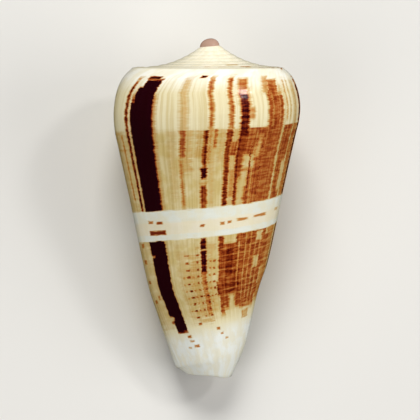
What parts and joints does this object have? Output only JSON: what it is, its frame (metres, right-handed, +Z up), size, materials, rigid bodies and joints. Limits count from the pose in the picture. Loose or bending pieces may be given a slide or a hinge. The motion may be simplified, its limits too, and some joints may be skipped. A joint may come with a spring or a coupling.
{
  "type": "cone shell",
  "caption": "Banded cone shell lying on its aperture side, a low stepped spire, rounded shoulder and long tapering body with brown streaks on cream.",
  "frame": {"origin": "centre of the bounding box at its bottom, on the surface that the shell lies on", "axes": "+Y runs along the shell towards the spire, +Z is up, away from the aperture, and +X is to the right of the back seen with the spire up"},
  "size_m": [0.033, 0.0594, 0.031],
  "materials": {
    "shell": "glossy natural shell, cream with chocolate and red-brown streaks and spiral bands"
  },
  "bodies": {
    "root": {"cone_shell": "shell"}
  },
  "joints": []
}
